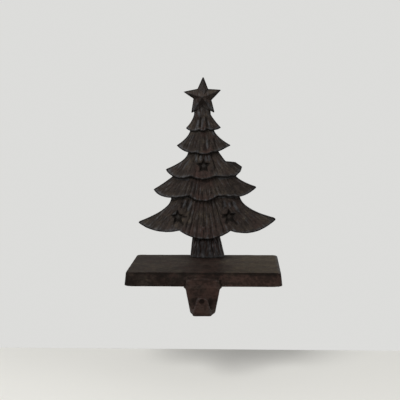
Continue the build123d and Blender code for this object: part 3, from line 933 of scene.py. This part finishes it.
def along_line(front, start, end, width, sway=0.0, phase=0.0):
    """How close each point of the front view lies to a line that sways a little, 0 to 1.

    The line's ends, its half width and its sway are in millimetres.
    """
    start, end = np.array(start) * MM, np.array(end) * MM
    along = end - start
    length = np.linalg.norm(along)
    along /= length
    reach = (front - start) @ along
    off = (front - start) @ np.array((along[1], -along[0])) / MM
    off += sway * np.sin(reach / (SWAY_LENGTH * MM) + phase)
    fade = step(reach / length, *LINE_STARTS) * (1 - step(reach / length, *LINE_ENDS))
    return np.exp(-((off / width) ** 2)) * fade


def fold_cover(front, fold, share=1.0):
    """How close each point of the front view lies to a fold, at a share of the fold's width."""
    return along_line(front, fold.start, fold.end, share * fold.width)


def carve_tree(piece, casting):
    """Cuts needles, folds, bark and the ends of the stars' arms into what looks to the front."""
    rng = np.random.default_rng(NEEDLE_SEED)
    mesh = piece.data
    points, normals = read_points(mesh), read_points(mesh, "vertex_normals", "vector")
    front = points[:, (0, 2)]
    depth = np.zeros(len(points))
    for tier in (*TIERS, TRUNK):
        full = casting.bark_depth if tier is TRUNK else casting.needle_depth
        for start, end, share in needle_lines(tier, rng):
            width = casting.needle_width / MM * rng.uniform(*NEEDLE_WIDTHS)
            sway = rng.uniform(*NEEDLE_SWAYS)
            if tier is TRUNK:
                width, sway = BARK_WIDTH * width, BARK_SWAY * sway
            needle = along_line(front, start, end, width, sway, rng.uniform(*SWAY_PHASES))
            depth = np.maximum(depth, needle * full * share * rng.uniform(*NEEDLE_DEPTHS))
    for fold in FOLDS:
        depth -= fold.rise * MM * fold_cover(front, fold)
    depth *= 1 - step(front[:, 1] / MM, *STAR_FROM)
    depth *= step(star_distance(front), *CARVED_STARS)
    for cut in STAR_CUTS:
        depth -= cut.rise * MM * fold_cover(front, cut)
    points[:, 1] += depth * step(-normals[:, 1], *TO_FRONT_CARVED)
    write_points(mesh, points)


class TreeSkin:
    """The tree's points in the front view, and shares that say which part each of them lies on."""

    def __init__(self, mesh):
        normals = read_points(mesh, "vertex_normals", "vector")
        near = Neighbours(mesh)
        self.front = read_points(mesh)[:, (0, 2)]
        self.x, self.z = self.front.T / MM
        self.up = normals[:, 2]
        self.height = relief(mesh, *TREE_RELIEF)
        self.gap = relief(mesh, *TREE_GAPS)
        self.on_star = step(self.z, *STAR_FROM)
        self.crown = step(self.z, *CROWN_FROM)
        self.boughs = step(self.z, *BOUGHS_FROM)
        self.low_tiers = 1 - step(self.z, *LOW_TIERS)
        self.lobes = lobe_cover(self.front)
        self.from_star = star_distance(self.front)
        self.clear = step(self.from_star, *CREASES_AT_STARS)
        looks_out = step(-normals[:, 1], *TO_FRONT)
        self.facing = looks_out * (1 - TREE_RUB_AND_SHEEN.star_face * self.on_star)
        self.not_back = 1 - step(normals[:, 1], *TO_BACK)
        # Edges and sides that turn away from the front, which get painted shade
        away = near.smooth(1 - looks_out, EDGE_ROUNDS)
        self.sides = step(away, *SIDE_BAND)
        self.edges = step(away, *EDGE_BAND) * (1 - self.sides)
        # Hem rims, which get a painted highlight
        self.hem_highlight = step(-near.smooth(self.up, HEM_ROUNDS), *HEM_TURN) * (1 - self.edges)


def tree_rubs_and_highlights(skin):
    """Where the tree's finish is rubbed grey, and where highlights are painted on the hem rims, the top
    star's upward facets, the small stars' middles and the rising folds.
    """
    rub_and_sheen = TREE_RUB_AND_SHEEN
    ridges = (rub_and_sheen.wing_ridges + (rub_and_sheen.lobe_ridges - rub_and_sheen.wing_ridges) * skin.lobes) * skin.height
    wings = (1 - skin.lobes) * (rub_and_sheen.wings + rub_and_sheen.left_wings * step(-skin.x, *LEFT_WINGS))
    hem_highlights = rub_and_sheen.hem_highlights + rub_and_sheen.low_hem_highlights * skin.low_tiers + rub_and_sheen.lobe_hem_highlights * skin.lobes
    marks = [
        ridges * skin.clear + rub_and_sheen.trunk * (1 - skin.boughs) + wings,
        # Painted highlight along the hem rims
        hem_highlights * skin.hem_highlight * skin.boughs * (1 - skin.on_star),
        # Painted highlight on the top star's upward facets
        rub_and_sheen.star * skin.on_star * step(skin.up, *STAR_TURN),
        # Painted glint at the small stars' middles
        rub_and_sheen.small_star_glints * (1 - step(skin.from_star, *STAR_CENTRES)),
    ]
    # Rubbed grey and painted highlight on the rising folds
    rises = [fold for fold in FOLDS if fold.rise > 0]
    marks += [rub_and_sheen.folds * fold_cover(skin.front, fold, FOLD_MARK) for fold in rises]
    return np.maximum.reduce(marks) * skin.facing


def tree_dark_and_shade(skin):
    """Where the tree's finish is dark, and where shade is painted: under the hems, on edges and sides
    that turn away, on the top star's downward facets, on the right wings and in the small stars' pockets.
    """
    dark = TREE_DARK
    creases = -skin.height * (dark.trunk_creases + dark.creases * skin.boughs)
    # Painted shadow under the hems of the boughs
    hem_shadows = -dark.hem_shadows * skin.gap * skin.boughs
    pocket_dark_and_shade = np.maximum.reduce([star_cover(skin.front, place) for place in SMALL_STARS])
    right = step(skin.x, *RIGHT_WINGS) * (1 - step(skin.z, *RIGHT_TOP)) * (1 - skin.lobes)
    right *= dark.right_wings + dark.right_middle * step(skin.z, *RIGHT_MIDDLE)
    star_arm = np.hypot(skin.x - STAR_ACROSS, skin.z - STAR_MIDDLE)
    marks = [
        np.maximum(creases, hem_shadows) * skin.clear,
        # Dark finish and painted shade in the small stars' pockets
        pocket_dark_and_shade * skin.not_back,
        # Painted shade on the top star's downward facets
        dark.crown * skin.crown * step(-skin.up, *CROWN_DARK_TURN),
        # Painted shade on the boughs' edges and sides
        (dark.edges * skin.edges + dark.sides * skin.sides) * skin.boughs * skin.not_back,
        right * skin.not_back,
        skin.on_star * skin.not_back * (dark.star + dark.star_tips * step(star_arm, *STAR_TIPS)),
    ]
    cuts = [fold for fold in FOLDS if fold.rise < 0]
    marks += [dark.folds * skin.facing * fold_cover(skin.front, cut, FOLD_MARK) for cut in cuts]
    # Dark finish and painted shade where the stars' arms run on
    marks += [dark.star_cuts * skin.facing * fold_cover(skin.front, cut) for cut in STAR_CUTS]
    return np.maximum.reduce(marks)


def lobe_blush(skin):
    """Where the lobes of the boughs turn red brown, around their lowest points."""
    blush = np.zeros(len(skin.front))
    for tier in TIERS:
        middle, half, low = tier.lobe
        across = np.abs(skin.x - middle) / (BLUSH_SIZE[0] * half)
        up = np.abs(skin.z - low) / (BLUSH_SIZE[1] * (tier.shoulders[2] - low))
        blush = np.maximum(blush, (1 - step(across, *BLUSH_ACROSS)) * (1 - step(up, *BLUSH_UP)))
    return blush


def mark_tree(piece):
    """Marks where the tree's finish is rubbed, dark, red brown or olive, and where highlights, shade and
    light are painted.
    """
    mesh = piece.data
    skin = TreeSkin(mesh)
    blush = lobe_blush(skin)
    open_faces = TREE_OPEN * (1 - blush) * skin.facing
    # Painted light in olive on the top star's upward facets
    lit_crown_facets = CROWN_FACET_LIGHT * skin.crown * step(skin.up, *CROWN_OPEN_TURN)
    store(mesh, "ridge", tree_rubs_and_highlights(skin))
    store(mesh, "hollow", tree_dark_and_shade(skin))
    store(mesh, "blush", TREE_BLUSH * blush)
    store(mesh, "open", np.maximum(open_faces, lit_crown_facets))
    store_run(mesh, *needle_run(skin.front))


def mark_base(piece):
    """Marks the base's finish: olive on the deck, red brown on the sides, the hook and near the trunk;
    with painted light on the deck and its right rim, painted shade near the trunk and on the hook's tab,
    and the tree's painted reflection in the deck.
    """
    mesh = piece.data
    up = read_points(mesh, "vertex_normals", "vector")[:, 2]
    x, y, z = (read_points(mesh) / MM).T
    height = relief(mesh, *BASE_RELIEF)
    deck = step(up, *DECK_TURN)
    right = step(x, *LEFT_TO_RIGHT)
    # The deck's right rim, which gets a painted highlight
    rim_highlight = step(x, *DECK_RIM) * step(up, *RIM_TURN)
    front_edge = (1 - step(DECK - z, *FRONT_EDGE)) * (1 - deck) * (z > 0) * (1 - rim_highlight)
    left = (1 - right) * (1 - deck) * (np.abs(x) > PAD_SIDE)
    trunk_x, trunk_y = TRUNK_FOOT
    from_middle = np.abs(x - trunk_x)
    from_trunk = np.hypot(np.maximum(0, from_middle - TRUNK_FOOT_HALF), y - trunk_y)
    # Painted shadow on the deck in front of the trunk's foot
    trunk_shadow = deck * (1 - step(from_trunk, *SHELTER))
    # Painted reflection of the tree in the deck, partly wear: darker, red brown and less olive
    tree_reflection_and_wear = deck * (1 - step(from_middle, *BY_TRUNK))
    tab_front = (np.abs(y + TAB_FRONT) < TAB_SPARE) * (z < 0)
    from_hole = np.hypot(x - BEHIND_HOLE[0], z - BEHIND_HOLE[1])
    base_dark_and_shade = (
        -BASE_DARK.creases * height,
        BASE_DARK.front_edge * front_edge,
        BASE_DARK.left * left,
        BASE_DARK.trunk_shadow * trunk_shadow,
        BASE_DARK.tree_reflection_and_wear * tree_reflection_and_wear,
        # Painted shade on the tab behind the hook's tongue and its hole
        BASE_DARK.tab * tab_front * step(-z, *TAB_LOW),
        BASE_DARK.behind_hole * tab_front * (1 - step(from_hole, *HOLE_SHADE)),
    )
    blush = (1 - deck) * (BASE_BLUSH.sides + BASE_BLUSH.right * right)
    # Olive on the deck, with painted light that grows to the back and to the right
    olive = BASE_OLIVE_AND_LIGHT.deck + BASE_OLIVE_AND_LIGHT.back * step(y, *DECK_BACK) + BASE_OLIVE_AND_LIGHT.right * step(x, *DECK_OLIVE)
    store(mesh, "ridge", np.maximum(BASE_RUB_AND_SHEEN.ridges * height * (1 - deck), BASE_RUB_AND_SHEEN.rim_highlight * rim_highlight))
    store(mesh, "hollow", np.maximum.reduce(base_dark_and_shade))
    store(mesh, "blush", blush + BASE_BLUSH.tree_reflection_and_wear * tree_reflection_and_wear)
    store(mesh, "open", deck * olive + BASE_OLIVE_AND_LIGHT.tree_reflection_and_wear * tree_reflection_and_wear)
    store_run(mesh, (y + z) / BASE_STREAK[0], x / BASE_STREAK[1])


# Operators

class HOLDER_OT_base(bpy.types.Operator):
    """Makes the base with its hook as a sand casting"""

    bl_idname = "holder.base"
    bl_label = "Base with hook"

    def execute(self, context):
        settings = context.scene.holder
        casting = settings.casting
        piece = copy_node("base_with_hook", "iron_base")
        cast_skin(piece, "base_with_hook", casting.base_skin, casting.soft_rounds)
        round_hook(piece, casting.hook_rounds, casting.hook_wing_rounds)
        sand_grain(piece, casting, "base_with_hook")
        mark_base(piece)
        iron = antique_iron("base_iron", settings.colours, mottle_size=7 * MM, rub_and_sheen=0.45, gloss=0.02)
        finish_piece(piece, "base_with_hook", iron)
        return {"FINISHED"}


class HOLDER_OT_tree(bpy.types.Operator):
    """Makes the fir tree as a sand casting with carved needles and bark"""

    bl_idname = "holder.tree"
    bl_label = "Fir tree"

    def execute(self, context):
        settings = context.scene.holder
        casting = settings.casting
        piece = copy_node("tree_casting", "iron_tree")
        cast_skin(piece, "tree_casting", casting.tree_skin, casting.soft_rounds)
        apply_modifier(piece, "DISPLACE", strength=casting.tree_swell, mid_level=0.0)
        fill_top(piece, "tree_casting", STAR_MIDDLE * MM)
        melt_boughs(piece, casting.melt_rounds)
        smooth_wings(piece, casting.wing_rounds)
        carve_tree(piece, casting)
        sand_grain(piece, casting, "tree_casting")
        mark_tree(piece)
        iron = antique_iron("tree_iron", settings.colours, mottle_size=5 * MM, rub_and_sheen=0.7, gloss=0.065)
        finish_piece(piece, "tree_casting", iron)
        return {"FINISHED"}


class HOLDER_OT_screw(bpy.types.Operator):
    """Gives the screw under the base its plated finish"""

    bl_idname = "holder.screw"
    bl_label = "Screw"

    def execute(self, context):
        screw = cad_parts["fixing_screw"]
        screw.data.materials.clear()
        screw.data.materials.append(plated_steel("screw_steel", context.scene.holder.colours))
        return {"FINISHED"}


class HOLDER_OT_studio(bpy.types.Operator):
    """Sets up the floor, the pale backdrop, the lamps and the camera"""

    bl_idname = "holder.studio"
    bl_label = "Studio"

    def execute(self, context):
        studio = context.scene.holder.studio
        self.floor(studio)
        self.backdrop(studio)
        for lamp in LAMPS:
            self.lamp(lamp, getattr(studio, lamp.power))
        self.camera(context, studio)
        context.scene.view_settings.view_transform = "Standard"
        return {"FINISHED"}

    def floor(self, studio):
        bpy.ops.object.select_all(action="DESELECT")
        reach = studio.floor_reach
        bpy.ops.mesh.primitive_plane_add(size=2 * reach, location=(0, 0, 0))
        floor = bpy.context.active_object
        floor.name = "floor"
        floor.data.transform(Matrix.Translation((0, studio.floor_back - reach, -studio.floor_drop)))
        floor.data.materials.append(pale_floor("floor", studio.floor_colour))

    def backdrop(self, studio):
        world = bpy.data.worlds.new("studio")
        world.use_nodes = True
        bpy.context.scene.world = world
        shading = Shading(world.node_tree)
        rays = ("Is Camera Ray", "Is Glossy Ray", "Is Transmission Ray")
        camera, glossy, clear = (shading.node("ShaderNodeLightPath", None, None, ray) for ray in rays)
        lights = (
            {"Color": (1, 1, 1), "Strength": studio.ambient},
            {"Color": studio.backdrop_colour, "Strength": 1.0},
        )
        even, pale = (shading.node("ShaderNodeBackground", None, sockets) for sockets in lights)
        mixed = shading.node("ShaderNodeMixShader", None, {0: camera + glossy + clear, 1: even, 2: pale})
        shading.node("ShaderNodeOutputWorld", None, {"Surface": mixed})

    def lamp(self, lamp, power):
        bpy.ops.object.light_add(type="AREA", location=lamp.place)
        light = bpy.context.active_object
        light.name = lamp.name
        light.data.energy = power
        light.data.shape = "DISK"
        light.data.size = lamp.size
        middle = (CAD_BOX[0] + CAD_BOX[1]) / 2
        light.rotation_euler = (middle - Vector(lamp.place)).to_track_quat("-Z", "Y").to_euler()

    def camera(self, context, studio):
        bpy.ops.object.camera_add(location=studio.camera_place)
        camera = bpy.context.active_object
        pitch, roll, yaw = studio.camera_turn
        turn = Matrix.Rotation(yaw, 3, "Z") @ Matrix.Rotation(pitch, 3, "X")
        turn = turn @ Matrix.Rotation(roll, 3, "Y") @ Matrix.Rotation(radians(90), 3, "X")
        camera.rotation_euler = turn.to_euler()
        camera.data.lens = studio.focal_pixels / PHOTO_WIDTH * camera.data.sensor_width
        context.scene.camera = camera


class HOLDER_PT_panel(bpy.types.Panel):
    """Lists the steps that make the holder"""

    bl_label = "Stocking holder"
    bl_idname = "HOLDER_PT_panel"
    bl_space_type = "VIEW_3D"
    bl_region_type = "UI"
    bl_category = "Holder"

    def draw(self, context):
        for step_class in STEPS:
            self.layout.operator(step_class.bl_idname)


STEPS = (HOLDER_OT_base, HOLDER_OT_tree, HOLDER_OT_screw, HOLDER_OT_studio)
CLASSES = (CastingDetail, IronColours, StudioSettings, HolderSettings, *STEPS, HOLDER_PT_panel)


def register():
    for item in CLASSES:
        bpy.utils.register_class(item)
    bpy.types.Scene.holder = PointerProperty(type=HolderSettings)


def unregister():
    del bpy.types.Scene.holder
    for item in reversed(CLASSES):
        bpy.utils.unregister_class(item)


def main():
    register()
    bpy.ops.holder.base()
    bpy.ops.holder.tree()
    bpy.ops.holder.screw()
    bpy.ops.holder.studio()


if __name__ == "__main__":
    main()
